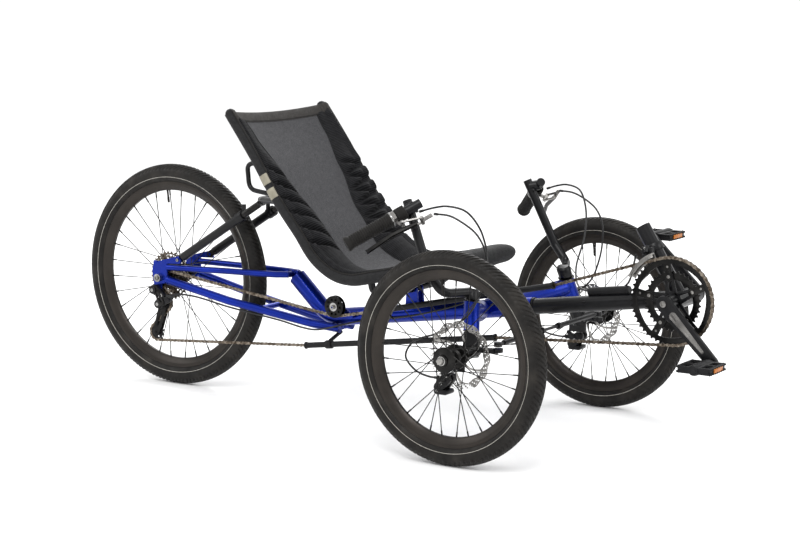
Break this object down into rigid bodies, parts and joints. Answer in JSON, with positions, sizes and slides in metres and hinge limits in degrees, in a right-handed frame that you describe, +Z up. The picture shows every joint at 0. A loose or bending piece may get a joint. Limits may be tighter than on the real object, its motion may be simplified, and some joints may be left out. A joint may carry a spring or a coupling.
{
  "type": "recumbent tadpole tricycle",
  "caption": "Recumbent adult tricycle: two steered front wheels, chain-driven rear wheel, long boom with cranks, sling seat and under-seat frame.",
  "frame": {"origin": "on the ground, below the middle of the whole length and width", "axes": "+X forward, +Y to the rider's left, +Z up"},
  "size_m": [1.9689, 0.8534, 0.7739],
  "materials": {
    "blue_paint": "gloss",
    "black_paint": "satin",
    "steel": "satin",
    "chain_steel": "satin",
    "silver_alloy": "satin",
    "rim_alloy": "satin black",
    "rubber": "matte",
    "tyre": "matte",
    "black_plastic": "matte",
    "cable_jacket": "semi-gloss",
    "seat_cloth": "woven mesh",
    "seat_quilt": "ribbed",
    "seat_trim": "woven",
    "reflective_cloth": "satin",
    "amber_reflector": "gloss"
  },
  "bodies": {
    "frame": {"main_tube": "blue_paint", "cross_arm_right": "blue_paint", "cross_arm_left": "blue_paint", "top_stays": "blue_paint", "lower_stays": "blue_paint", "boom": "black_paint", "bottom_bracket": "black_paint", "rear_axle": "steel", "front_derailleur": "black_paint", "rear_derailleur": "black_plastic", "power_chain_tube": "black_plastic", "return_chain_tube": "black_plastic", "drive_chain": "chain_steel", "rear_shift_cable": "cable_jacket", "front_shift_cable": "cable_jacket"},
    "crank": {"chainring_large": "black_paint", "chainring_small": "black_paint", "crank_arm_right": "black_paint", "crank_arm_left": "black_paint"},
    "pedal_right": {"pedal_right": "black_plastic"},
    "pedal_left": {"pedal_left": "black_plastic"},
    "rear_wheel": {"rear_wheel_tyre": "tyre", "rear_wheel_rim": "rim_alloy", "rear_wheel_hub": "steel"},
    "cassette": {"cassette": "steel"},
    "derailleur_cage": {"derailleur_cage": "black_paint"},
    "guide_pulley": {"guide_pulley": "black_plastic"},
    "tension_pulley": {"tension_pulley": "black_plastic"},
    "idler": {"idler_wheel": "black_plastic"},
    "tie_rod": {"tie_rod": "black_paint"},
    "seat": {"seat_frame": "black_paint", "seat_cover": "seat_cloth"},
    "steering_right": {"knuckle_right": "black_paint", "handlebar_right": "black_paint", "grip_right": "rubber", "brake_lever_mount_right": "silver_alloy", "brake_caliper_right": "black_paint", "brake_cable_right": "cable_jacket"},
    "brake_lever_right": {"brake_lever_right": "silver_alloy"},
    "shifter_right": {"shifter_right": "black_plastic"},
    "front_wheel_right": {"front_wheel_right_tyre": "tyre", "front_wheel_right_rim": "rim_alloy", "front_wheel_right_hub": "steel", "brake_rotor_right": "steel"},
    "strut_outer_right": {"strut_outer_right": "black_paint"},
    "strut_inner_right": {"strut_inner_right": "black_paint"},
    "steering_left": {"knuckle_left": "black_paint", "handlebar_left": "black_paint", "grip_left": "rubber", "brake_lever_mount_left": "silver_alloy", "brake_caliper_left": "black_paint", "brake_cable_left": "cable_jacket"},
    "brake_lever_left": {"brake_lever_left": "silver_alloy"},
    "shifter_left": {"shifter_left": "black_plastic"},
    "front_wheel_left": {"front_wheel_left_tyre": "tyre", "front_wheel_left_rim": "rim_alloy", "front_wheel_left_hub": "steel", "brake_rotor_left": "steel"},
    "strut_outer_left": {"strut_outer_left": "black_paint"},
    "strut_inner_left": {"strut_inner_left": "black_paint"}
  },
  "joints": [
    {"name": "crank_spin", "type": "hinge", "parent": "frame", "child": "crank", "pos_m": [0.8115, 0, 0.37], "axis": [0, 1, 0], "continuous": true},
    {"name": "pedal_right_spin", "type": "hinge", "parent": "crank", "child": "pedal_right", "pos_m": [0.93242, -0.15, 0.24698], "axis": [0, 1, 0], "continuous": true},
    {"name": "pedal_left_spin", "type": "hinge", "parent": "crank", "child": "pedal_left", "pos_m": [0.69058, 0.15, 0.49302], "axis": [0, 1, 0], "continuous": true},
    {"name": "cassette_spin", "type": "hinge", "parent": "frame", "child": "cassette", "pos_m": [-0.6849, 0, 0.3016], "axis": [0, 1, 0], "continuous": true},
    {"name": "rear_wheel_spin", "type": "hinge", "parent": "frame", "child": "rear_wheel", "pos_m": [-0.6849, 0, 0.3016], "axis": [0, 1, 0], "continuous": true},
    {"name": "cage_swing", "type": "hinge", "parent": "frame", "child": "derailleur_cage", "pos_m": [-0.6755, -0.0615, 0.232], "axis": [0, 1, 0], "range_deg": [-30, 8], "stiffness_Nm_per_rad": 1.5, "deforming": ["drive_chain"]},
    {"name": "guide_pulley_spin", "type": "hinge", "parent": "derailleur_cage", "child": "guide_pulley", "pos_m": [-0.6755, -0.0615, 0.232], "axis": [0, 1, 0], "continuous": true},
    {"name": "tension_pulley_spin", "type": "hinge", "parent": "derailleur_cage", "child": "tension_pulley", "pos_m": [-0.7045, -0.0615, 0.15], "axis": [0, 1, 0], "continuous": true},
    {"name": "idler_spin", "type": "hinge", "parent": "frame", "child": "idler", "pos_m": [-0.1235, -0.0498, 0.271], "axis": [0, 1, 0], "continuous": true},
    {"name": "steer_right", "type": "hinge", "parent": "frame", "child": "steering_right", "pos_m": [0.3965, -0.241, 0.322], "axis": [-0.1654, 0.3046, 0.938], "range_deg": [-25, 25], "deforming": ["rear_shift_cable"]},
    {"name": "front_wheel_right_spin", "type": "hinge", "parent": "steering_right", "child": "front_wheel_right", "pos_m": [0.4165, -0.3706, 0.2475], "axis": [0, 1, 0], "continuous": true},
    {"name": "brake_lever_right_pull", "type": "hinge", "parent": "steering_right", "child": "brake_lever_right", "pos_m": [0.3014, -0.3287, 0.5431], "axis": [-0.1453, 0.6716, -0.7265], "range_deg": [0, 10], "stiffness_Nm_per_rad": 1.2},
    {"name": "shifter_right_twist", "type": "hinge", "parent": "steering_right", "child": "shifter_right", "pos_m": [0.2528, -0.32, 0.5608], "axis": [-0.6126, -0.6377, -0.467], "range_deg": [0, 60]},
    {"name": "steer_left", "type": "hinge", "parent": "frame", "child": "steering_left", "pos_m": [0.3965, 0.241, 0.322], "axis": [-0.1654, -0.3046, 0.938], "range_deg": [-25, 25], "deforming": ["front_shift_cable"]},
    {"name": "front_wheel_left_spin", "type": "hinge", "parent": "steering_left", "child": "front_wheel_left", "pos_m": [0.4165, 0.3706, 0.2475], "axis": [0, 1, 0], "continuous": true},
    {"name": "brake_lever_left_pull", "type": "hinge", "parent": "steering_left", "child": "brake_lever_left", "pos_m": [0.3014, 0.3287, 0.5431], "axis": [0.1453, 0.6716, 0.7265], "range_deg": [0, 10], "stiffness_Nm_per_rad": 1.2},
    {"name": "shifter_left_twist", "type": "hinge", "parent": "steering_left", "child": "shifter_left", "pos_m": [0.2528, 0.32, 0.5608], "axis": [-0.6126, 0.6377, -0.467], "range_deg": [0, 60]},
    {"name": "tie_rod_swing", "type": "hinge", "parent": "steering_right", "child": "tie_rod", "pos_m": [0.4725, -0.25, 0.267], "axis": [0.2331, -0.3004, -0.9249], "range_deg": [-26, 26]},
    {"name": "seat_recline", "type": "hinge", "parent": "frame", "child": "seat", "pos_m": [0.0865, 0, 0.331], "axis": [0, 1, 0], "range_deg": [-6, 8]},
    {"name": "strut_right_swing", "type": "hinge", "parent": "frame", "child": "strut_outer_right", "pos_m": [-0.6205, -0.066, 0.354], "axis": [0, 1, 0], "range_deg": [-6, 5]},
    {"name": "strut_right_slide", "type": "slide", "parent": "strut_outer_right", "child": "strut_inner_right", "axis": [0.8507, 0, 0.5256], "range_m": [-0.045, 0.058]},
    {"name": "strut_left_swing", "type": "hinge", "parent": "frame", "child": "strut_outer_left", "pos_m": [-0.6205, 0.066, 0.354], "axis": [0, 1, 0], "range_deg": [-6, 5]},
    {"name": "strut_left_slide", "type": "slide", "parent": "strut_outer_left", "child": "strut_inner_left", "axis": [0.8507, 0, 0.5256], "range_m": [-0.045, 0.058]}
  ],
  "couplings": [
    {"joint": "cassette_spin", "follows": "crank_spin", "ratio": 4.5455},
    {"joint": "guide_pulley_spin", "follows": "crank_spin", "ratio": -4.5455},
    {"joint": "tension_pulley_spin", "follows": "crank_spin", "ratio": 4.5455},
    {"joint": "idler_spin", "follows": "crank_spin", "ratio": -4.0452},
    {"joint": "steer_left", "follows": "steer_right", "ratio": 1},
    {"joint": "tie_rod_swing", "follows": "steer_right", "ratio": 1.0142},
    {"joint": "strut_right_swing", "follows": "seat_recline", "ratio": -0.73},
    {"joint": "strut_right_slide", "follows": "seat_recline", "m_per_rad": 0.395},
    {"joint": "strut_left_swing", "follows": "seat_recline", "ratio": -0.73},
    {"joint": "strut_left_slide", "follows": "seat_recline", "m_per_rad": 0.395}
  ]
}
